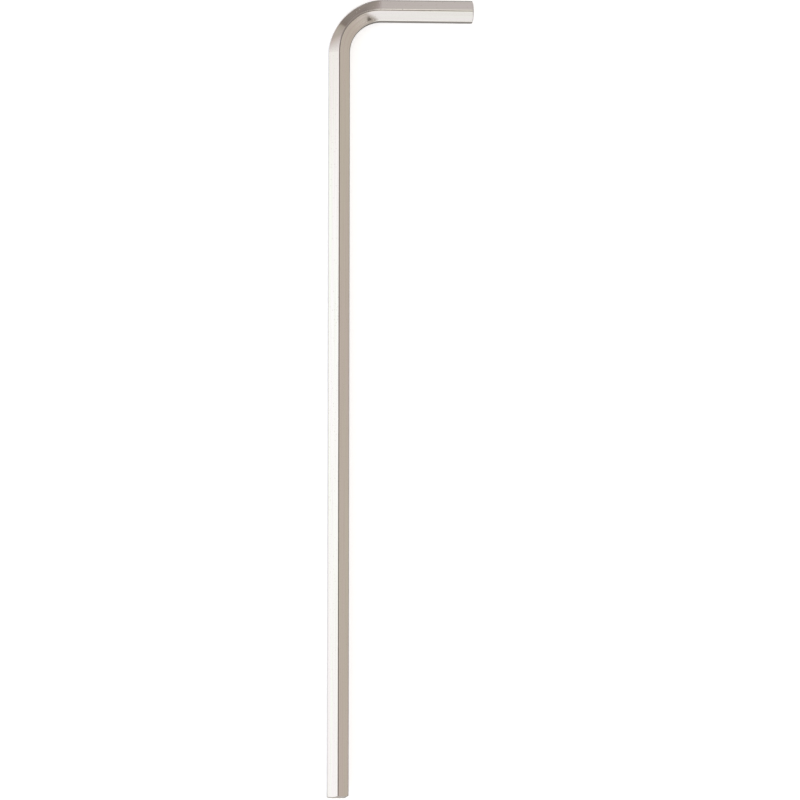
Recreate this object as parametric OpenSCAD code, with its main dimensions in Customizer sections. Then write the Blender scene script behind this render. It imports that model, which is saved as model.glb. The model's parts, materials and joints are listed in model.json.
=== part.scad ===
// Long-arm hex key. One hexagonal bar is bent at a right angle, with a chamfer
// turned on each end. It lies flat, resting on the lower edge of its hexagon:
// the long arm runs along Y, the short arm points along +X, and the origin is
// the middle of its outline on the surface under it.

/* [Bar] */
// Size across the flats of the hexagonal bar
across_flats = 4; // [2.5:0.5:6]
// Radius on the six long edges of the bar
edge_radius = 0.45; // [0.1:0.05:0.6]

/* [Arms] */
// Length of the long arm, measured over the bend
long_arm = 148; // [90:1:240]
// Length of the short arm, measured over the bend
short_arm = 27; // [20:0.5:45]

/* [Bend] */
// Radius on the inside of the bend
inside_radius = 6; // [4:0.1:9]
// How much thinner the bar is drawn on the outside of the bend
outside_thinning = 0.2; // [0:0.01:0.3]
// How far the top and bottom edges drift outward in the bend
edge_drift = 0.26; // [0:0.01:0.35]
// How far the inside corners spread apart, and the outside ones close up
corner_spread = 0.1; // [0:0.01:0.2]

/* [Ends] */
// Diameter of the flat that the chamfer leaves on each end
end_face = 3.15; // [1.8:0.05:3.6]
// Slope of the long arm's chamfer, measured from its end face
long_chamfer = 32; // [15:1:45]
// How far the long arm's chamfer is turned off centre, to the outside
chamfer_offset = 0.2; // [0:0.01:0.3]
// Slope of the short arm's chamfer, measured from its end face
short_chamfer = 17; // [10:1:45]

/* [Hidden] */

bend_angle = 90;
// Turn from one section of the bend to the next
bend_step = 3;
// Flat facets on each rounded edge
edge_facets = 4;
// Turn over which the section changes, at each end of the bend
change_run = 35;
// How far the blank that a chamfer is turned on reaches past the bar
blank_room = 1;
blank_fn = 96;

half_flats = across_flats / 2;
corner_radius = across_flats / sqrt(3);
// Height of the bar's axis over the surface that its rounded edge touches
axis_height = corner_radius - edge_radius * (2 / sqrt(3) - 1);
axis_radius = inside_radius + half_flats;
long_straight = long_arm - inside_radius - across_flats;
short_straight = short_arm - inside_radius - across_flats;
long_axis_x = half_flats - short_arm / 2;
short_axis_y = long_arm / 2 - half_flats;
bend_centre = [long_axis_x + axis_radius, short_axis_y - axis_radius];

// Smooth rise from 0 to 1 at the start of the bend, and back to 0 at its end
function change(turn) =
    let (part = min(1, min(turn, bend_angle - turn) / change_run))
    part * part * (3 - 2 * part);

// Sharp corners of the hexagon at one turn of the bend, as [outward, up]
function corners(turn) =
    let (
        outer = half_flats - outside_thinning * change(turn),
        drift = edge_drift * change(turn),
        spread = corner_spread * change(turn),
        narrow = corner_radius / 2 - spread,
        wide = corner_radius / 2 + spread
    )
    [
        [outer, -narrow],
        [outer, narrow],
        [drift, corner_radius],
        [-half_flats, wide],
        [-half_flats, -wide],
        [drift, -corner_radius]
    ];

function heading(from, to) = atan2(to.y - from.y, to.x - from.x);

// A convex outline with an arc of the edge radius at every corner
function rounded(outline) =
    let (count = len(outline))
    [
        for (i = [0:count - 1])
        let (
            before = outline[(i + count - 1) % count],
            corner = outline[i],
            after = outline[(i + 1) % count],
            first = heading(before, corner) - 90,
            sweep = (heading(corner, after) - 90 - first + 360) % 360,
            middle = first + sweep / 2,
            setback = edge_radius / cos(sweep / 2),
            centre = corner - setback * [cos(middle), sin(middle)]
        )
        for (k = [0:edge_facets])
        let (around = first + sweep * k / edge_facets)
        centre + edge_radius * [cos(around), sin(around)]
    ];

// Section of the bar at one turn of the bend, as [distance from the bend's axis, up]
function section(turn) =
    [for (p = rounded(corners(turn))) [axis_radius + p.x, p.y]];

// The same section in its place on the bend
function bend_section(turn) =
    [for (p = section(turn)) [-p.x * cos(turn), p.x * sin(turn), p.y]];

// A solid skinned over sections that all have the same number of points
module skin(sections) {
    count = len(sections[0]);
    last = (len(sections) - 1) * count;
    walls = [
        for (s = [0:len(sections) - 2], i = [0:count - 1])
        let (a = s * count + i, b = s * count + (i + 1) % count)
        [a, a + count, b + count, b]
    ];
    start_cap = [for (i = [0:count - 1]) i];
    end_cap = [for (i = [count - 1:-1:0]) last + i];
    polyhedron(
        points = [for (section = sections) each section],
        faces = concat([start_cap], walls, [end_cap]),
        convexity = 6
    );
}

module bend() {
    skin([for (turn = [0:bend_step:bend_angle]) bend_section(turn)]);
}

// Round blank with its far end turned down to the end face
module turned_blank(length, slope) {
    blank_radius = corner_radius + blank_room;
    rotate_extrude($fn = blank_fn)
        polygon([
            [0, -blank_room],
            [blank_radius, -blank_room],
            [blank_radius, length - (blank_radius - end_face / 2) * tan(slope)],
            [end_face / 2, length],
            [0, length]
        ]);
}

// Straight bar from the bend along Z; its outward side is X
module arm(length, slope, offset) {
    intersection() {
        linear_extrude(length + blank_room)
            polygon(section(0));
        translate([axis_radius + offset, 0, 0])
            turned_blank(length, slope);
    }
}

// Everything is drawn about the centre of the bend, then set in its place
module hex_key() {
    color([0.79, 0.76, 0.72])
    translate([bend_centre.x, bend_centre.y, axis_height])
    union() {
        bend();
        mirror([1, 0, 0])
            rotate([90, 0, 0])
            arm(long_straight, long_chamfer, chamfer_offset);
        rotate([90, 0, 90])
            arm(short_straight, short_chamfer, 0);
    }
}

hex_key();
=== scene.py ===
"""A bright plated hex key lying on a white table, under soft studio light.

The bar replaces the faceted solid with a finer mesh of the same form. It keeps
the section of the bent bar, with true normals on its flats and rounded edges.
"""

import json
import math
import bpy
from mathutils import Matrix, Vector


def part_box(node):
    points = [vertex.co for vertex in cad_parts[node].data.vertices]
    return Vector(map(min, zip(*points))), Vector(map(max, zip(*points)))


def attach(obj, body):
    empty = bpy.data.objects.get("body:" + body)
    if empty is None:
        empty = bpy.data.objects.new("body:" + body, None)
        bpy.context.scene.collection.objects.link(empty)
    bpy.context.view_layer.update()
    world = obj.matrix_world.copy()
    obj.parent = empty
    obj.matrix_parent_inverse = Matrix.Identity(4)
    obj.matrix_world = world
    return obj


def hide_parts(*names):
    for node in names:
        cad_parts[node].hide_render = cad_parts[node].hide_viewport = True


bl_info = {
    "name": "Plated hex key",
    "version": (1, 0, 0),
    "blender": (4, 5, 0),
    "location": "View3D > Sidebar > Hex key",
    "description": "Makes a bent hexagonal bar with a bright plate, and its studio",
    "category": "Object",
}

import bpy
from mathutils import Matrix, Vector

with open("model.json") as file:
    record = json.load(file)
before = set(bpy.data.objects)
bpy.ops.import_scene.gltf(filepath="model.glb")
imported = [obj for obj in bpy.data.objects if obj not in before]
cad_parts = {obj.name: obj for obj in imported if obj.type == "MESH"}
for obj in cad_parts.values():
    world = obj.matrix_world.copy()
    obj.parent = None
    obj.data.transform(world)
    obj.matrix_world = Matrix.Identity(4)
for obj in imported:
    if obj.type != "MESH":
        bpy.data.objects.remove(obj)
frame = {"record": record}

NODE = "hex_key"
BODY = "root"
RIGHT_ANGLE = math.pi / 2

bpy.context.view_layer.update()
node_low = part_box(NODE)[0]
mounts = {mount["name"]: mount for mount in frame["record"]["mounts"]}
long_end = Vector(mounts["long_arm_end"]["pos_m"])
short_end = Vector(mounts["short_arm_end"]["pos_m"])
plate = frame["record"]["materials"][0]["base_color"]


class KeyForm(bpy.types.PropertyGroup):
    """Sizes of the bar. Lengths are in metres."""

    across_flats: bpy.props.FloatProperty(
        name="Across flats",
        description="Size across the flats of the bar",
        default=2 * (long_end.x - node_low.x),
        unit="LENGTH",
        precision=5,
    )
    edge_radius: bpy.props.FloatProperty(
        name="Edge radius",
        description="Radius on the six long edges",
        default=0.00045,
        unit="LENGTH",
        precision=5,
    )
    inside_radius: bpy.props.FloatProperty(
        name="Inside radius",
        description="Radius on the inside of the bend",
        default=0.006,
        unit="LENGTH",
        precision=5,
    )
    outside_thinning: bpy.props.FloatProperty(
        name="Outside thinning",
        description="How much thinner the bar is drawn on the outside of the bend",
        default=0.0002,
        unit="LENGTH",
        precision=5,
    )
    edge_drift: bpy.props.FloatProperty(
        name="Edge drift",
        description="How far the top and bottom edges drift outward in the bend",
        default=0.00026,
        unit="LENGTH",
        precision=5,
    )
    corner_spread: bpy.props.FloatProperty(
        name="Corner spread",
        description="How far the inside corners spread, and the outside ones close up",
        default=0.0001,
        unit="LENGTH",
        precision=5,
    )
    settling_turn: bpy.props.FloatProperty(
        name="Settling turn",
        description="How far the inner flats turn, from edge to edge, where the bend ends",
        default=math.radians(6),
        subtype="ANGLE",
    )
    change_run: bpy.props.FloatProperty(
        name="Change run",
        description="Turn over which the section changes, at each end of the bend",
        default=math.radians(35),
        subtype="ANGLE",
    )
    end_face: bpy.props.FloatProperty(
        name="End face",
        description="Diameter of the flat that the chamfer leaves on each end",
        default=0.00315,
        unit="LENGTH",
        precision=5,
    )
    long_chamfer: bpy.props.FloatProperty(
        name="Long chamfer",
        description="Slope of the long arm's chamfer, measured from its end face",
        default=math.radians(32),
        subtype="ANGLE",
    )
    chamfer_offset: bpy.props.FloatProperty(
        name="Chamfer offset",
        description="How far the long arm's chamfer is turned off centre, to the outside",
        default=0.0002,
        unit="LENGTH",
        precision=5,
    )
    short_chamfer: bpy.props.FloatProperty(
        name="Short chamfer",
        description="Slope of the short arm's chamfer, measured from its end face",
        default=math.radians(17),
        subtype="ANGLE",
    )


class KeyFinish(bpy.types.PropertyGroup):
    """The plate on the bar."""

    plate_colour: bpy.props.FloatVectorProperty(
        name="Plate",
        description="Colour of the bright plate",
        default=plate,
        subtype="COLOR",
        size=3,
        min=0,
        max=1,
    )
    shadow_colour: bpy.props.FloatVectorProperty(
        name="Drawn lines",
        description="Colour of the plate in the drawing lines and specks",
        default=(0.66, 0.61, 0.56),
        subtype="COLOR",
        size=3,
        min=0,
        max=1,
    )
    roughness: bpy.props.FloatProperty(
        name="Roughness",
        description="Roughness of the bright plate",
        default=0.07,
        min=0,
        max=1,
    )


class KeyStage(bpy.types.PropertyGroup):
    """The table, the light and the camera."""

    table_radius: bpy.props.FloatProperty(
        name="Table radius",
        description="Radius of the white table",
        default=3,
        unit="LENGTH",
    )
    distance: bpy.props.FloatProperty(
        name="Distance",
        description="Distance from the camera to the point that it looks at",
        default=1.01916,
        unit="LENGTH",
        precision=5,
    )
    lens: bpy.props.FloatProperty(
        name="Lens",
        description="Focal length on a sensor 36 mm wide, in millimetres",
        default=247.5,
    )
    yaw: bpy.props.FloatProperty(
        name="Yaw",
        description="Tilt of the view towards the long arm's outer side",
        default=math.radians(4.412),
        subtype="ANGLE",
    )
    pitch: bpy.props.FloatProperty(
        name="Pitch",
        description="Tilt of the view towards the long arm's end",
        default=math.radians(3.482),
        subtype="ANGLE",
    )
    roll: bpy.props.FloatProperty(
        name="Roll",
        description="Turn of the camera about the line that it looks along",
        default=math.radians(0.075),
        subtype="ANGLE",
    )
    target: bpy.props.FloatVectorProperty(
        name="Target",
        description="The point of the table that the camera looks at",
        default=(-0.000022, -0.000408),
        unit="LENGTH",
        size=2,
        precision=6,
    )


# The bar

SIDES = 6
ARC_STEPS = 4  # facets on half of a rounded edge
FLAT_STEPS = 8  # facets across a flat
ARM_STEP = 0.002  # longest stretch of an arm between two rings
BEND_STEP = math.radians(1)
SLOPE_STEP = BEND_STEP / 10  # turn over which the section's change is measured
CONE_RINGS = 3
FACE_RINGS = 3


def corner_radius(form):
    return form.across_flats / math.sqrt(3)


def axis_radius(form):
    return form.inside_radius + form.across_flats / 2


def straights(form):
    """Lengths of the long and the short arm's straight bar, up to the bend."""
    long_straight = short_end.y - long_end.y - axis_radius(form)
    short_straight = short_end.x - long_end.x - axis_radius(form)
    return long_straight, short_straight


def change(form, turn):
    """Smooth rise from 0 to 1 at the start of the bend, and back to 0 at its end."""
    part = min(1, turn / form.change_run, (RIGHT_ANGLE - turn) / form.change_run)
    return part * part * (3 - 2 * part)


def corners(form, turn):
    """Sharp corners of the section at one turn of the bend, as (outward, up)."""
    amount = change(form, turn)
    tall = corner_radius(form)
    flat = form.across_flats / 2
    outer = flat - form.outside_thinning * amount
    drift = form.edge_drift * amount
    narrow = tall / 2 - form.corner_spread * amount
    wide = tall / 2 + form.corner_spread * amount
    outline = [
        (drift, -tall),
        (outer, -narrow),
        (outer, narrow),
        (drift, tall),
        (-flat, wide),
        (-flat, -wide),
    ]
    return [Vector(point) for point in outline]


# Turns of the bend where the settling starts, is full, starts to fade and ends
SETTLING = [math.radians(angle) for angle in (60, 72, 82, 90)]
EDGE_FADE = 0.1  # share of a flat over which the settling fades at its edges
# Numbers of the two flats beside the innermost one, counted from the bottom edge
UPPER_FLAT, LOWER_FLAT = 3, 5


def settling(form, turn, sides):
    """Turn of an inner flat about its own middle, near the short arm's end of the bend."""
    if sides > LOWER_FLAT:
        sides = UPPER_FLAT + LOWER_FLAT + 1 - sides
    across = sides - UPPER_FLAT
    if not 0 < across < 1:
        return 0.0
    start, full, fading, end = SETTLING
    amount = max(0, min(1, (turn - start) / (full - start), (end - turn) / (end - fading)))
    off_edge = min(1, min(across, 1 - across) / EDGE_FADE)
    return form.settling_turn * (across - 0.5) * amount * off_edge


def heading(angle):
    return Vector((math.cos(angle), math.sin(angle)))


def section(form, turn):
    """Points round the bar, as (place, normal, sides passed). It starts at the bottom edge."""
    outline = corners(form, turn)
    count = len(outline)
    radius = form.edge_radius
    facing = []
    for i in range(count):
        side = outline[(i + 1) % count] - outline[i]
        facing.append(math.atan2(side.y, side.x) - RIGHT_ANGLE)
    points = []
    for i in range(count):
        start, end = outline[i], outline[(i + 1) % count]
        length = (end - start).length
        half_before = (facing[i] - facing[i - 1]) % math.tau / 2
        half_after = (facing[(i + 1) % count] - facing[i]) % math.tau / 2
        share_before = radius * math.tan(half_before) / length
        share_after = radius * math.tan(half_after) / length
        for k in range(ARC_STEPS):
            normal = heading(facing[i] - half_before * (1 - k / ARC_STEPS))
            centre = start - heading(facing[i] - half_before) * radius / math.cos(half_before)
            points.append((centre + normal * radius, normal, i + share_before * k / ARC_STEPS))
        for k in range(FLAT_STEPS):
            share = share_before + (1 - share_before - share_after) * k / FLAT_STEPS
            points.append((start.lerp(end, share), heading(facing[i]), i + share))
        for k in range(ARC_STEPS):
            normal = heading(facing[i] + half_after * k / ARC_STEPS)
            centre = end - heading(facing[i] + half_after) * radius / math.cos(half_after)
            share = 1 - share_after * (1 - k / ARC_STEPS)
            points.append((centre + normal * radius, normal, i + share))
    return points


class Station:
    """A place along the bar: a turn of the bend, and a reach past the bend's nearer end."""

    def __init__(self, form, turn, reach=0.0):
        self.form = form
        self.turn = turn
        self.reach = reach
        self.outward = Vector((-math.cos(turn), math.sin(turn), 0))
        self.along = Vector((math.sin(turn), math.cos(turn), 0))

    def place(self, point, reach=None):
        """A point of the section, in the part's frame."""
        form = self.form
        centre = Vector((long_end.x, short_end.y, long_end.z))
        centre += Vector((1, -1, 0)) * axis_radius(form)
        reach = self.reach if reach is None else reach
        out = self.outward * (axis_radius(form) + point.x)
        return centre + out + self.along * reach + Vector((0, 0, point.y))

    def length(self):
        """Distance along the bar's axis from the start of the bend."""
        return self.turn * axis_radius(self.form) + self.reach

    def normal(self, flat_normal, slope):
        """Normal of the bar where its section changes by slope for each radian of the bend."""
        normal = self.outward * flat_normal.x + Vector((0, 0, flat_normal.y))
        return (normal - self.along * flat_normal.dot(slope) / axis_radius(self.form)).normalized()


def stations(form):
    """Every place along the bar that has a ring of its own, from the long arm's end."""
    chamfer_room = ARM_STEP / 2
    long_straight, short_straight = straights(form)
    steps = math.ceil(long_straight / ARM_STEP)
    row = []
    for k in range(steps):
        reach = -(long_straight - chamfer_room) * (1 - k / steps)
        row.append(Station(form, 0, reach))
    steps = round(RIGHT_ANGLE / BEND_STEP)
    for k in range(steps):
        row.append(Station(form, RIGHT_ANGLE * k / steps))
    steps = math.ceil(short_straight / ARM_STEP)
    for k in range(steps + 1):
        reach = (short_straight - chamfer_room) * k / steps
        row.append(Station(form, RIGHT_ANGLE, reach))
    return row


def side_ring(form, station):
    """The ring of points at one station, as (place, normal, along, round).

    The last two are the bar's map: corner radii along it from the start of the
    bend, and sides passed from the bottom edge.
    """
    before = section(form, max(0, station.turn - SLOPE_STEP))
    here = section(form, station.turn)
    after = section(form, min(RIGHT_ANGLE, station.turn + SLOPE_STEP))
    unit = corner_radius(form)
    ring = []
    for (a, _, _), (point, flat_normal, sides), (b, _, _) in zip(before, here, after):
        slope = Vector((0, 0))
        if 0 < station.turn < RIGHT_ANGLE:
            slope = (b - a) / (2 * SLOPE_STEP)
        normal = station.normal(flat_normal, slope)
        normal += station.along * settling(form, station.turn, sides)
        normal.normalize()
        ring.append((station.place(point), normal, station.length() / unit, sides))
    return ring


def end_rings(form, station, length, slope, offset):
    """Rings from the last one on the bar to the middle of an end face.

    The first rings lie on the turned cone, from where it meets the bar, as
    (place, bar normal, cone normal, along, way in, round). The inner rings lie
    on the end face, as (place, way in, round).
    """
    sign = -1 if station.turn == 0 else 1
    face = form.end_face / 2
    axis = Vector((offset, 0))
    unit = corner_radius(form)
    out = station.along * sign
    spokes = []
    for point, flat_normal, sides in section(form, station.turn):
        away = point - axis
        spokes.append((away.normalized(), away.length, flat_normal, sides))
    rings = []
    for k in range(CONE_RINGS + 1):
        ring = []
        for away, reach_out, flat_normal, sides in spokes:
            radius = reach_out + (face - reach_out) * k / CONE_RINGS
            back = (radius - face) * math.tan(slope)
            reach = sign * (length - back)
            point = axis + away * radius
            across = station.outward * away.x
            across.z = away.y
            cone = (out * math.cos(slope) + across * math.sin(slope)).normalized()
            along = station.turn * axis_radius(form) + reach
            place = station.place(point, reach)
            bar = station.normal(flat_normal, Vector((0, 0)))
            ring.append((place, bar, cone, along / unit, radius / unit, sides))
        rings.append(ring)
    inner = []
    for k in range(1, FACE_RINGS):
        ring = []
        for away, _, _, sides in spokes:
            radius = face * (1 - k / FACE_RINGS)
            point = axis + away * radius
            ring.append((station.place(point, sign * length), radius / unit, sides))
        inner.append(ring)
    middle = station.place(axis, sign * length)
    return rings, inner, middle, out


class Skin:
    """Collects the vertices and faces of the bar, with a normal and a map point at each corner."""

    def __init__(self):
        self.places = []
        self.faces = []
        self.normals = []
        self.maps = []
        self.finishes = []

    def ring(self, places):
        start = len(self.places)
        self.places.extend(places)
        return list(range(start, len(self.places)))

    def face(self, points, normals, maps, finish):
        self.faces.append(points)
        self.normals.extend(normals)
        self.maps.extend(maps)
        self.finishes.append(finish)

    def band(self, first, second, first_data, second_data, finish):
        """Quads between two rings. The data is (normal, along, round) for each point."""
        count = len(first)
        for i in range(count):
            j = (i + 1) % count
            round_end = SIDES if j == 0 else first_data[j][2]
            around = [
                (first[i], first_data[i], first_data[i][2]),
                (first[j], first_data[j], round_end),
                (second[j], second_data[j], round_end),
                (second[i], second_data[i], second_data[i][2]),
            ]
            self.face(
                [index for index, _, _ in around],
                [point[0] for _, point, _ in around],
                [(point[1], sides) for _, point, sides in around],
                finish,
            )

    def cap(self, ring, centre, data, normal, finish, outward_order):
        """Triangles from a ring to the middle point."""
        count = len(ring)
        for i in range(count):
            j = (i + 1) % count
            round_end = SIDES if j == 0 else data[j][1]
            points = [ring[i], ring[j], centre]
            maps = [(data[i][0], data[i][1]), (data[j][0], round_end), (0, data[i][1])]
            if not outward_order:
                points.reverse()
                maps.reverse()
            self.face(points, [normal] * 3, maps, finish)

    def mesh(self, name):
        mesh = bpy.data.meshes.new(name)
        mesh.from_pydata(self.places, [], self.faces)
        mesh.polygons.foreach_set("material_index", self.finishes)
        mesh.polygons.foreach_set("use_smooth", [True] * len(self.faces))
        layer = mesh.uv_layers.new(name="bar")
        layer.data.foreach_set("uv", [x for point in self.maps for x in point])
        mesh.normals_split_custom_set(self.normals)
        mesh.validate(verbose=False)
        return mesh


BAR_FINISH, END_FINISH = 0, 1


def bar_mesh(form):
    """The whole bar, from end to end."""
    skin = Skin()
    row = stations(form)
    sides = [side_ring(form, station) for station in row]
    rings = [skin.ring([point[0] for point in ring]) for ring in sides]
    data = [[point[1:] for point in ring] for ring in sides]
    for k in range(len(rings) - 1):
        skin.band(rings[k], rings[k + 1], data[k], data[k + 1], BAR_FINISH)
    long_straight, short_straight = straights(form)
    long_cut = (long_straight, form.long_chamfer, form.chamfer_offset)
    short_cut = (short_straight, form.short_chamfer, 0)
    add_end(skin, form, row[0], rings[0], data[0], *long_cut)
    add_end(skin, form, row[-1], rings[-1], data[-1], *short_cut)
    return skin.mesh("hex_key_bar")


def add_end(skin, form, station, ring, data, length, slope, offset):
    """The chamfer and the end face of one arm."""
    cone, inner, middle, out = end_rings(form, station, length, slope, offset)
    last = station.turn > 0

    def band(a, b, a_data, b_data, finish):
        if last:
            skin.band(a, b, a_data, b_data, finish)
        else:
            skin.band(b, a, b_data, a_data, finish)

    lip = skin.ring([point[0] for point in cone[0]])
    lip_data = [(bar, along, sides) for _, bar, _, along, _, sides in cone[0]]
    band(ring, lip, data, lip_data, BAR_FINISH)
    before = lip
    before_data = [(turned, way_in, sides) for _, _, turned, _, way_in, sides in cone[0]]
    for points in cone[1:]:
        now = skin.ring([point[0] for point in points])
        now_data = [(turned, way_in, sides) for _, _, turned, _, way_in, sides in points]
        band(before, now, before_data, now_data, END_FINISH)
        before, before_data = now, now_data
    before_data = [(out, way_in, sides) for _, way_in, sides in before_data]
    for points in inner:
        now = skin.ring([point[0] for point in points])
        now_data = [(out, way_in, sides) for _, way_in, sides in points]
        band(before, now, before_data, now_data, END_FINISH)
        before, before_data = now, now_data
    centre = skin.ring([middle])[0]
    around = [(way_in, sides) for _, way_in, sides in before_data]
    skin.cap(before, centre, around, out, END_FINISH, last)


# Node helpers

# Sockets of a Mix node that mixes colours
MIX_SHARE, MIX_A, MIX_B, MIX_RESULT = 0, 6, 7, 2
FLOAT, VECTOR, COLOUR = "NodeSocketFloat", "NodeSocketVector", "NodeSocketColor"


def add(tree, kind, name, **values):
    node = tree.nodes.new(kind)
    node.name = node.label = name
    for key, value in values.items():
        setattr(node, key, value)
    return node


def link(tree, source, target):
    tree.links.new(source, target)


def feed(tree, socket, value):
    """Link a socket to the value where that is a socket too, and otherwise set it."""
    if isinstance(value, bpy.types.NodeSocket):
        link(tree, value, socket)
    else:
        socket.default_value = value


def split(tree, name, vector):
    """The X, Y and Z parts of a vector."""
    node = add(tree, "ShaderNodeSeparateXYZ", name)
    link(tree, vector, node.inputs[0])
    return node.outputs


def math_node(tree, name, operation, *inputs, clamp=False):
    node = add(tree, "ShaderNodeMath", name, operation=operation, use_clamp=clamp)
    for socket, value in zip(node.inputs, inputs):
        feed(tree, socket, value)
    return node.outputs[0]


def range_node(tree, name, value, from_min, from_max, to_min=0.0, to_max=1.0, smooth=False):
    node = add(tree, "ShaderNodeMapRange", name)
    node.interpolation_type = "SMOOTHSTEP" if smooth else "LINEAR"
    link(tree, value, node.inputs["Value"])
    node.inputs["From Min"].default_value = from_min
    node.inputs["From Max"].default_value = from_max
    node.inputs["To Min"].default_value = to_min
    node.inputs["To Max"].default_value = to_max
    return node.outputs["Result"]


def colour_mix(tree, name, share, a, b, blend="MIX"):
    node = add(tree, "ShaderNodeMix", name, data_type="RGBA", blend_type=blend)
    for number, value in ((MIX_SHARE, share), (MIX_A, a), (MIX_B, b)):
        if isinstance(value, tuple):
            value = (*value, 1.0)
        feed(tree, node.inputs[number], value)
    return node.outputs[MIX_RESULT]


def grey(tree, name, value):
    """A grey of the value's brightness."""
    node = add(tree, "ShaderNodeCombineColor", name)
    for socket in node.inputs:
        link(tree, value, socket)
    return node.outputs[0]


def noise_node(tree, name, place, scale, detail, roughness):
    node = add(tree, "ShaderNodeTexNoise", name, noise_dimensions="2D")
    node.inputs["Scale"].default_value = scale
    node.inputs["Detail"].default_value = detail
    node.inputs["Roughness"].default_value = roughness
    link(tree, place, node.inputs["Vector"])
    return node.outputs["Fac"]


def stretched(tree, place, along, around):
    """The bar's map, scaled by one amount along the bar and by another one round it."""
    parts = split(tree, "Along and round", place)
    spot = add(tree, "ShaderNodeCombineXYZ", "Stretched map")
    link(tree, math_node(tree, "Stretched", "MULTIPLY", parts["X"], along), spot.inputs["X"])
    link(tree, math_node(tree, "Count round", "MULTIPLY", parts["Y"], around), spot.inputs["Y"])
    return spot.outputs[0]


def new_group(name, inputs, outputs):
    """An empty shader node group with its sockets, as (group, input node, output node)."""
    group = bpy.data.node_groups.new(name, "ShaderNodeTree")
    for label, kind, value in inputs:
        socket = group.interface.new_socket(label, in_out="INPUT", socket_type=kind)
        if value is not None:
            socket.default_value = value
    for label, kind in outputs:
        group.interface.new_socket(label, in_out="OUTPUT", socket_type=kind)
    entry = add(group, "NodeGroupInput", "Inputs")
    result = add(group, "NodeGroupOutput", "Outputs")
    return group, entry, result


def place_group(tree, group, name, **values):
    node = add(tree, "ShaderNodeGroup", name, node_tree=group)
    for key, value in values.items():
        feed(tree, node.inputs[key], value)
    return node


# The plate's effects

# Levels of the noise between which each effect comes in
LINE_NOISE = (0.45, 0.75)
TINT_NOISE = (0.35, 0.65)
PATCH_NOISE = (0.42, 0.62)
# Distances from the middle of a speck between which it fades, in its own cells
SPECK_FADE = (0.05, 0.2)
TINT_STRETCH = 0.06  # of the bands, along the bar
TINTS = ((1.010, 0.984, 1.010), (0.994, 1.013, 0.980))  # a little pink, and a little green
PATCH_SCALE = 1.7
HALF_SIDE = 0.5  # from an edge of the bar to the middle of a flat, in sides


def drawn_lines_group():
    """Fine lines along the bar from the drawing die, which come and go."""
    inputs = [("Map", VECTOR, None), ("Lines", FLOAT, 9.0), ("Stretch", FLOAT, 0.12)]
    group, entry, result = new_group("Drawn lines", inputs, [("Mask", FLOAT), ("Height", FLOAT)])
    given = entry.outputs
    spot = stretched(group, given["Map"], given["Stretch"], given["Lines"])
    noise = noise_node(group, "Line noise", spot, scale=1.0, detail=4.0, roughness=0.6)
    mask = range_node(group, "Line mask", noise, *LINE_NOISE)
    link(group, mask, result.inputs["Mask"])
    link(group, noise, result.inputs["Height"])
    return group


def specks_group():
    """Small pits in the plate, far apart."""
    inputs = [("Map", VECTOR, None), ("Scale", FLOAT, 4.0), ("Amount", FLOAT, 0.3)]
    group, entry, result = new_group("Plate specks", inputs, [("Mask", FLOAT)])
    cells = add(group, "ShaderNodeTexVoronoi", "Speck cells", voronoi_dimensions="2D")
    cells.inputs["Randomness"].default_value = 1.0
    link(group, entry.outputs["Map"], cells.inputs["Vector"])
    link(group, entry.outputs["Scale"], cells.inputs["Scale"])
    distance = cells.outputs["Distance"]
    near = range_node(group, "Speck size", distance, *SPECK_FADE, 1.0, 0.0, smooth=True)
    draw = add(group, "ShaderNodeSeparateColor", "Cell draw")
    link(group, cells.outputs["Color"], draw.inputs[0])
    chosen = math_node(group, "Chosen cells", "LESS_THAN", draw.outputs[0], entry.outputs["Amount"])
    mask = math_node(group, "Speck mask", "MULTIPLY", near, chosen)
    link(group, mask, result.inputs["Mask"])
    return group


def tint_group():
    """Slow drift of the plate's colour, in long soft bands."""
    inputs = [("Map", VECTOR, None), ("Colour", COLOUR, (1, 1, 1, 1)), ("Bands", FLOAT, 2.6)]
    group, entry, result = new_group("Plate tint", inputs, [("Colour", COLOUR)])
    given = entry.outputs
    spot = stretched(group, given["Map"], TINT_STRETCH, given["Bands"])
    noise = noise_node(group, "Band noise", spot, scale=1.0, detail=2.0, roughness=0.5)
    drift = range_node(group, "Band share", noise, *TINT_NOISE)
    tint = colour_mix(group, "Band tint", drift, *TINTS)
    colour = colour_mix(group, "Tinted plate", 1.0, given["Colour"], tint, blend="MULTIPLY")
    link(group, colour, result.inputs["Colour"])
    return group


def edge_group():
    """Rubbed patches along the six long edges, from 0 on a flat to 1 on an edge."""
    inputs = [("Map", VECTOR, None), ("Width", FLOAT, 0.12)]
    group, entry, result = new_group("Rubbed edges", inputs, [("Mask", FLOAT)])
    given = entry.outputs
    around = split(group, "Round the bar", given["Map"])["Y"]
    distance = math_node(group, "To an edge", "PINGPONG", around, HALF_SIDE)
    share = math_node(group, "Share of width", "DIVIDE", distance, given["Width"])
    near = math_node(group, "Near an edge", "SUBTRACT", 1.0, share, clamp=True)
    noise = noise_node(
        group, "Patches", given["Map"], scale=PATCH_SCALE, detail=4.0, roughness=0.5
    )
    patches = range_node(group, "Patch share", noise, *PATCH_NOISE)
    mask = math_node(group, "Rubbed", "MULTIPLY", near, patches)
    link(group, mask, result.inputs["Mask"])
    return group


# The painted dark reflection's place, and how far it reaches, along and round the bar
MARK_AT = (4.14, 3.71)
MARK_SIZE = (0.29, 0.36)
MARK_CUT = 4.0  # how many times nearer its straight side is than its round one
MARK_FADE = (0.25, 1.05)  # shares of its size between which it fades
# Colour of the painted dark reflection of the tool's dent, put into the plate's colour
DENT_REFLECTION_COLOUR = (0.30, 0.28, 0.26)


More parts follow.
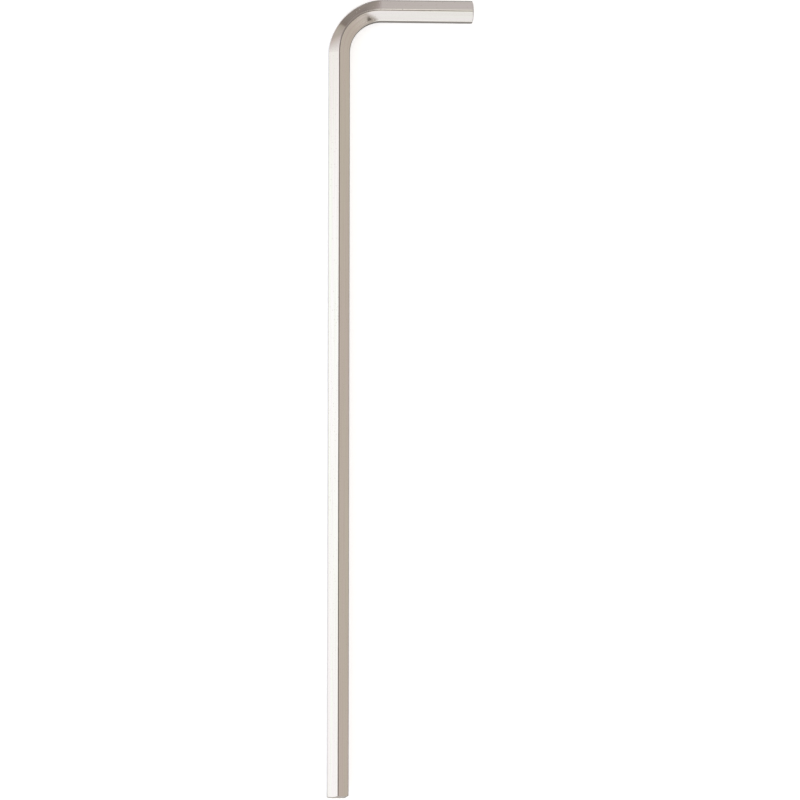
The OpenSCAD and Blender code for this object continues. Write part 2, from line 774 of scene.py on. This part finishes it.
def painted_dent_reflection(tree, place):
    """Mask of a half-round painted dark reflection, where the bending tool leaves a small dent
    inside the bend; the dent itself is not built.
    """
    parts = split(tree, "Mark place", place)
    offsets = []
    for name, value, middle, reach in zip(("along", "round"), parts, MARK_AT, MARK_SIZE):
        offset = math_node(tree, "Mark off " + name, "SUBTRACT", value, middle)
        offsets.append(math_node(tree, "Mark share " + name, "DIVIDE", offset, reach))
    squares = [math_node(tree, "Mark square", "MULTIPLY", offset, offset) for offset in offsets]
    square = math_node(tree, "Mark sum", "ADD", *squares)
    distance = math_node(tree, "Mark distance", "SQRT", square)
    straight = math_node(tree, "Mark straight side", "MULTIPLY", offsets[1], MARK_CUT)
    nearer = math_node(tree, "Mark outline", "MAXIMUM", distance, straight)
    return range_node(tree, "Painted dent reflection", nearer, *MARK_FADE, 1.0, 0.0, smooth=True)


# Lines to each side, their stretch along the bar, and the relief in metres
DRAWN = (9.0, 0.12, 0.000004)
TURNED = (0.5, 60.0, 0.00001)
# How much of the dark colour each effect adds where it is full
LINE_SHARE, SPECK_SHARE, RUBBED_SHARE = 0.25, 0.30, 0.20
PIT_DEPTH = -1.6  # of a speck, in heights of the relief
# The lowest and the highest lines, with the roughness there in shares of the plate's
LINE_HEIGHTS = (0.2, 0.8)
LINE_GLOSS = (0.7, 1.5)
RUBBED_MATT = 0.3


def plated_material(name, finish, groups, pattern, dent_reflection):
    """Bright plate over drawn or turned steel."""
    count, stretch, relief_height = pattern
    material = bpy.data.materials.new(name)
    material.use_nodes = True
    tree = material.node_tree
    shader = tree.nodes["Principled BSDF"]
    shader.inputs["Metallic"].default_value = 1.0
    place = add(tree, "ShaderNodeUVMap", "Bar map", uv_map="bar").outputs["UV"]
    lines = place_group(
        tree, groups["lines"], "Drawn lines", Map=place, Lines=count, Stretch=stretch
    )
    specks = place_group(tree, groups["specks"], "Specks", Map=place, Scale=4.0, Amount=0.16)
    rubbed = place_group(tree, groups["edges"], "Rubbed edges", Map=place, Width=0.14)
    plate_colour = (*finish.plate_colour, 1)
    dark = tuple(finish.shadow_colour)
    tint = place_group(tree, groups["tint"], "Plate tint", Map=place, Colour=plate_colour)
    streaks = math_node(tree, "Faint lines", "MULTIPLY", lines.outputs["Mask"], LINE_SHARE)
    colour = colour_mix(tree, "Lined plate", streaks, tint.outputs["Colour"], dark)
    spots = math_node(tree, "Faint specks", "MULTIPLY", specks.outputs["Mask"], SPECK_SHARE)
    colour = colour_mix(tree, "Specked plate", spots, colour, dark)
    worn = math_node(tree, "Faint wear", "MULTIPLY", rubbed.outputs["Mask"], RUBBED_SHARE)
    colour = colour_mix(tree, "Rubbed plate", worn, colour, dark)
    # Painted dark reflection of the bending tool's dent, mixed into the plate's colour
    if dent_reflection:
        colour = colour_mix(tree, "Plate with painted reflection", painted_dent_reflection(tree, place), colour, DENT_REFLECTION_COLOUR)
    link(tree, colour, shader.inputs["Base Color"])
    gloss = [finish.roughness * share for share in LINE_GLOSS]
    rough = range_node(tree, "Plate gloss", lines.outputs["Height"], *LINE_HEIGHTS, *gloss)
    matt = math_node(tree, "Rubbed gloss", "MULTIPLY", worn, RUBBED_MATT)
    roughness = math_node(tree, "Roughness", "ADD", rough, matt)
    link(tree, roughness, shader.inputs["Roughness"])
    pits = math_node(tree, "Pits", "MULTIPLY", specks.outputs["Mask"], PIT_DEPTH)
    relief = math_node(tree, "Lines and pits", "ADD", lines.outputs["Height"], pits)
    bump = add(tree, "ShaderNodeBump", "Plate relief")
    bump.inputs["Strength"].default_value = 1.0
    bump.inputs["Distance"].default_value = relief_height
    link(tree, relief, bump.inputs["Height"])
    link(tree, bump.outputs["Normal"], shader.inputs["Normal"])
    return material


# The studio light, by the direction that a reflection looks in


def heights(low, high):
    """How far two directions point up, when they rise from level by these degrees."""
    return math.sin(math.radians(low)), math.sin(math.radians(high))


# Degrees round from the long arm's outer side, turning past the bend first,
# with the light that the walls send from there
WALLS = (
    (0, (1.19, 1.22, 1.25)),
    (3, (1.225, 1.265, 1.30)),
    (6, (1.24, 1.30, 1.335)),
    (8, (1.19, 1.22, 1.21)),
    (8.7, (1.04, 1.01, 1.035)),
    (10, (1.03, 1.015, 1.03)),
    (16, (0.885, 0.855, 0.875)),
    (21, (0.78, 0.735, 0.74)),
    (25, (0.70, 0.63, 0.62)),
    (30, (0.555, 0.505, 0.485)),
    (42, (0.56, 0.51, 0.46)),
    (44, (0.32, 0.27, 0.25)),
    (52, (0.375, 0.335, 0.315)),
    (60, (0.42, 0.37, 0.35)),
    (70, (0.40, 0.35, 0.335)),
    (76, (0.335, 0.30, 0.29)),
    (86, (0.38, 0.335, 0.32)),
    (91, (0.47, 0.41, 0.42)),
    (95, (0.66, 0.615, 0.63)),
    (140, (0.60, 0.56, 0.54)),
    (160, (0.62, 0.56, 0.505)),
    (215, (0.58, 0.52, 0.47)),
    (228, (0.50, 0.46, 0.42)),
    (243, (0.445, 0.41, 0.375)),
    (253, (1.00, 1.00, 1.02)),
    (262, (1.03, 1.045, 1.065)),
    (320, (1.10, 1.10, 1.10)),
    (360, (1.19, 1.22, 1.25)),
)
# Two parts of a direction along Y, between which a change of the walls comes in:
# on the side of the long arm's foot, and on the far side, past the bend
FOOT_SIDE = (-0.4, -0.75)
FAR_SIDE = (0.45, 0.75)
# The walls are darker near the table, apart from the foot's side
LOW_WALL = heights(6, 15)
LOW_WALL_SHADE = -0.32
# On the foot's side they are lighter, up to here
FOOT_WALL = heights(22, 34)
FOOT_WALL_GLOW = 0.30
# The ceiling takes over here, and lower down on the far side
WALL_TOP = heights(41, 48)
FAR_WALL_DROP = 0.18
CEILING_MIDDLE = 1.0
CEILING_SLOPE = (-0.38, -0.18)
# The ceiling turns warm from the outer side to the inner side
WARM_SIDE = (-0.3, 0.6)
CEILING_WARM = (1.0, 0.93, 0.86)
# More light high on the outer side, and high past the bend
WINDOW_SIDE = (-0.50, -0.80)
WINDOW_GLOW = 0.40
LAMP_SIDE = (0.30, 0.60)
LAMP_GLOW = 0.25
# Dark things overhead: the parts of a direction along X and along Y between
# which each one shows, and its colour
OVERHEAD = (
    ("Boom", (-0.49, 0.49), (-0.36, 0.24), (0.25, 0.22, 0.205)),
    ("Curtain", (-0.62, 0.02), (0.24, 0.80), (0.33, 0.30, 0.28)),
)
OVERHEAD_HEIGHT = 0.5  # they show only in directions that point up more than this
SOFT_EDGE = 0.04


def fill_ramp(ramp, stops):
    while len(ramp.elements) > 1:
        ramp.elements.remove(ramp.elements[-1])
    for number, (degrees, colour) in enumerate(stops):
        element = ramp.elements[0] if number == 0 else ramp.elements.new(degrees / 360)
        element.position = degrees / 360
        element.color = (*colour, 1.0)


def wall_light(tree, direction):
    """Light of the walls, which changes round the room and near the table."""
    x, y, z = direction
    outward = math_node(tree, "Outward", "MULTIPLY", x, -1.0)
    turn = math_node(tree, "Round the table", "ARCTAN2", y, outward)
    turns = math_node(tree, "Turns", "DIVIDE", turn, math.tau)
    share = math_node(tree, "Share of a turn", "WRAP", turns, 1.0, 0.0)
    ramp = add(tree, "ShaderNodeValToRGB", "Walls")
    fill_ramp(ramp.color_ramp, WALLS)
    link(tree, share, ramp.inputs[0])
    changes = []
    for name, top, amounts in (
        ("Low wall", LOW_WALL, (LOW_WALL_SHADE, 0.0)),
        ("Foot wall", FOOT_WALL, (0.0, FOOT_WALL_GLOW)),
    ):
        low = range_node(tree, name + " low", z, *top, 1.0, 0.0)
        there = range_node(tree, name + " there", y, *FOOT_SIDE, *amounts)
        changes.append(math_node(tree, name + " change", "MULTIPLY", low, there))
    both = math_node(tree, "Both changes", "ADD", *changes)
    level = math_node(tree, "Wall level", "ADD", both, 1.0)
    shade = grey(tree, "Wall grey", level)
    return colour_mix(tree, "Shaded walls", 1.0, ramp.outputs["Color"], shade, blend="MULTIPLY")


def ceiling_light(tree, direction):
    """Light of the ceiling, which slopes across the room and turns warm."""
    x, y, _ = direction
    across = math_node(tree, "Across", "MULTIPLY", x, CEILING_SLOPE[0])
    sideways = math_node(tree, "Sideways", "MULTIPLY", y, CEILING_SLOPE[1])
    slope = math_node(tree, "Ceiling slope", "ADD", across, sideways)
    plain = math_node(tree, "Ceiling light", "ADD", slope, CEILING_MIDDLE)
    window = range_node(tree, "Window glow", x, *WINDOW_SIDE, 0.0, WINDOW_GLOW)
    lamp = range_node(tree, "Lamp glow", y, *LAMP_SIDE, 0.0, LAMP_GLOW)
    glow = math_node(tree, "Window and lamp", "ADD", window, lamp)
    level = math_node(tree, "Ceiling level", "ADD", plain, glow)
    warmth = range_node(tree, "Ceiling warmth", x, *WARM_SIDE)
    tint = colour_mix(tree, "Ceiling tint", warmth, (1, 1, 1), CEILING_WARM)
    shade = grey(tree, "Ceiling grey", level)
    return colour_mix(tree, "Ceiling", 1.0, shade, tint, blend="MULTIPLY")


def overhead_mask(tree, name, direction, across, lengthwise):
    """1 where a direction points at a dark thing overhead, soft at its outline."""
    x, y, z = direction
    mask = math_node(tree, name + " above", "GREATER_THAN", z, OVERHEAD_HEIGHT)
    for value, (start, end) in ((x, across), (y, lengthwise)):
        after = range_node(tree, name + " start", value, start - SOFT_EDGE, start + SOFT_EDGE)
        before = range_node(tree, name + " end", value, end - SOFT_EDGE, end + SOFT_EDGE, 1.0, 0.0)
        inside = math_node(tree, name + " inside", "MULTIPLY", after, before)
        mask = math_node(tree, name + " mask", "MULTIPLY", mask, inside)
    return mask


def world_light():
    """Walls round the table, a bright ceiling, and dark things overhead."""
    world = bpy.data.worlds.new("Studio")
    bpy.context.scene.world = world
    world.use_nodes = True
    tree = world.node_tree
    tree.nodes.clear()
    place = add(tree, "ShaderNodeTexCoord", "Direction").outputs["Generated"]
    direction = split(tree, "Direction parts", place)
    drop = range_node(tree, "Wall drop", direction["Y"], *FAR_SIDE, 0.0, FAR_WALL_DROP)
    lifted = math_node(tree, "Height over the wall", "ADD", direction["Z"], drop)
    height = range_node(tree, "Over the walls", lifted, *WALL_TOP)
    walls = wall_light(tree, direction)
    ceiling = ceiling_light(tree, direction)
    light = colour_mix(tree, "Room", height, walls, ceiling)
    for name, across, lengthwise, colour in OVERHEAD:
        mask = overhead_mask(tree, name, direction, across, lengthwise)
        light = colour_mix(tree, name, mask, light, colour)
    path = add(tree, "ShaderNodeLightPath", "Rays")
    seen = colour_mix(tree, "Seen by the camera", path.outputs["Is Camera Ray"], light, (1, 1, 1))
    background = add(tree, "ShaderNodeBackground", "Light")
    link(tree, seen, background.inputs["Color"])
    output = add(tree, "ShaderNodeOutputWorld", "World")
    link(tree, background.outputs[0], output.inputs["Surface"])


# The table

FLOOR_DROP = 0.00001  # of the table under the key, so that no two faces meet
TABLE_SIDES = 64
TABLE_COLOUR = (0.8, 0.8, 0.8)
SHADE_COLOUR = (0.50, 0.495, 0.49)
SIDE_BLEND = 0.001  # to each side of the long arm's middle
CLOSE = (0.008, 0.012)  # distances from the middle of an arm between which the shade ends
BESIDE = (-0.004, 0.002)  # from the long arm's end, where shade and glow come in
METAL_GLOW = 0.45
METAL_TINT = (0.93, 1.0, 1.12)
CAMERA_GLOW = 0.62


def table_material():
    """White, but in the metal darker close to the key inside the bend, and lighter outside it."""
    material = bpy.data.materials.new("White table")
    material.use_nodes = True
    tree = material.node_tree
    shader = tree.nodes["Principled BSDF"]
    shader.inputs["Roughness"].default_value = 1.0
    shader.inputs["Specular IOR Level"].default_value = 0.0
    place = add(tree, "ShaderNodeTexCoord", "Place").outputs["Object"]
    x, y, _ = split(tree, "Place parts", place)
    arm_x, arm_y = long_end.x, short_end.y
    near, far = CLOSE
    inner = range_node(tree, "Inner side", x, arm_x - SIDE_BLEND, arm_x + SIDE_BLEND)
    by_long_arm = range_node(tree, "By the long arm", x, arm_x + near, arm_x + far, 1.0, 0.0)
    by_short_arm = range_node(tree, "By the short arm", y, arm_y - far, arm_y - near)
    close = math_node(tree, "Close to the key", "MAXIMUM", by_long_arm, by_short_arm)
    inner_close = math_node(tree, "Inner side and close", "MULTIPLY", inner, close)
    beside = range_node(tree, "Beside the key", y, *[long_end.y + way for way in BESIDE])
    rays = add(tree, "ShaderNodeLightPath", "Rays").outputs
    metal = math_node(tree, "Seen in metal", "MULTIPLY", beside, rays["Is Glossy Ray"])
    dark = math_node(tree, "Shade in metal", "MULTIPLY", inner_close, metal)
    colour = colour_mix(tree, "Table", dark, TABLE_COLOUR, SHADE_COLOUR)
    link(tree, colour, shader.inputs["Base Color"])
    outer = math_node(tree, "Outer side", "SUBTRACT", 1.0, inner)
    bright = math_node(tree, "Light in metal", "MULTIPLY", outer, metal)
    glossy = math_node(tree, "Glossy rays", "MULTIPLY", bright, METAL_GLOW)
    camera = math_node(tree, "Camera rays", "MULTIPLY", rays["Is Camera Ray"], CAMERA_GLOW)
    glow = math_node(tree, "Glow", "ADD", camera, glossy)
    tint = colour_mix(tree, "Glow tint", rays["Is Camera Ray"], METAL_TINT, (1, 1, 1))
    link(tree, tint, shader.inputs["Emission Color"])
    link(tree, glow, shader.inputs["Emission Strength"])
    return material


def make_table(stage):
    """A white round table that the key lies on."""
    mesh = bpy.data.meshes.new("table")
    edge = []
    for k in range(TABLE_SIDES):
        angle = k * math.tau / TABLE_SIDES
        x, y = heading(angle) * stage.table_radius
        edge.append((x, y, -FLOOR_DROP))
    mesh.from_pydata(edge, [], [list(range(TABLE_SIDES))])
    table = bpy.data.objects.new("table", mesh)
    bpy.context.scene.collection.objects.link(table)
    table.data.materials.append(table_material())


def make_camera(stage):
    """A long lens high above the key, a little to its outer side."""
    data = bpy.data.cameras.new("camera")
    data.sensor_width = 36
    data.lens = stage.lens
    camera = bpy.data.objects.new("camera", data)
    bpy.context.scene.collection.objects.link(camera)
    bpy.context.scene.camera = camera
    back = Vector((-math.tan(stage.yaw), -math.tan(stage.pitch), 1)).normalized()
    level = Vector((0, 1, 0)).cross(back).normalized()
    upright = back.cross(level)
    right = level * math.cos(stage.roll) + upright * math.sin(stage.roll)
    up = upright * math.cos(stage.roll) - level * math.sin(stage.roll)
    target = Vector((*stage.target, long_end.z))
    turned = Matrix((right, up, back)).transposed().to_4x4()
    camera.matrix_world = Matrix.Translation(target + back * stage.distance) @ turned


class OBJECT_OT_hex_key(bpy.types.Operator):
    """Make the plated bar in place of the faceted solid"""

    bl_idname = "object.hex_key_bar"
    bl_label = "Plated bar"
    bl_options = {"REGISTER", "UNDO"}

    def execute(self, context):
        finish = context.scene.hex_key_finish
        groups = {
            "lines": drawn_lines_group(),
            "specks": specks_group(),
            "tint": tint_group(),
            "edges": edge_group(),
        }
        bar = bpy.data.objects.new("plated_bar", bar_mesh(context.scene.hex_key_form))
        context.scene.collection.objects.link(bar)
        side = plated_material("Plated bar", finish, groups, DRAWN, dent_reflection=True)
        end = plated_material("Plated end", finish, groups, TURNED, dent_reflection=False)
        bar.data.materials.append(side)
        bar.data.materials.append(end)
        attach(bar, BODY)
        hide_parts(NODE)
        return {"FINISHED"}


class SCENE_OT_hex_key_stage(bpy.types.Operator):
    """Make the table, the studio light and the camera"""

    bl_idname = "scene.hex_key_stage"
    bl_label = "Table, light and camera"
    bl_options = {"REGISTER", "UNDO"}

    def execute(self, context):
        stage = context.scene.hex_key_stage
        context.scene.view_settings.view_transform = "Standard"
        make_table(stage)
        world_light()
        make_camera(stage)
        return {"FINISHED"}


class VIEW3D_PT_hex_key(bpy.types.Panel):
    """Sizes and finish of the key, and the steps that make it"""

    bl_idname = "VIEW3D_PT_hex_key"
    bl_label = "Hex key"
    bl_space_type = "VIEW_3D"
    bl_region_type = "UI"
    bl_category = "Hex key"

    def draw(self, context):
        scene = context.scene
        for owner, operator in (
            (scene.hex_key_form, None),
            (scene.hex_key_finish, OBJECT_OT_hex_key.bl_idname),
            (scene.hex_key_stage, SCENE_OT_hex_key_stage.bl_idname),
        ):
            column = self.layout.column(align=True)
            for name in type(owner).__annotations__:
                column.prop(owner, name)
            if operator:
                column.operator(operator)


CLASSES = (
    KeyForm,
    KeyFinish,
    KeyStage,
    OBJECT_OT_hex_key,
    SCENE_OT_hex_key_stage,
    VIEW3D_PT_hex_key,
)
GROUPS = {"hex_key_form": KeyForm, "hex_key_finish": KeyFinish, "hex_key_stage": KeyStage}


def register():
    for cls in CLASSES:
        bpy.utils.register_class(cls)
    for name, group in GROUPS.items():
        setattr(bpy.types.Scene, name, bpy.props.PointerProperty(type=group))


def unregister():
    for name in GROUPS:
        delattr(bpy.types.Scene, name)
    for cls in reversed(CLASSES):
        bpy.utils.unregister_class(cls)


def main():
    register()
    bpy.ops.object.hex_key_bar()
    bpy.ops.scene.hex_key_stage()


if __name__ == "__main__":
    main()
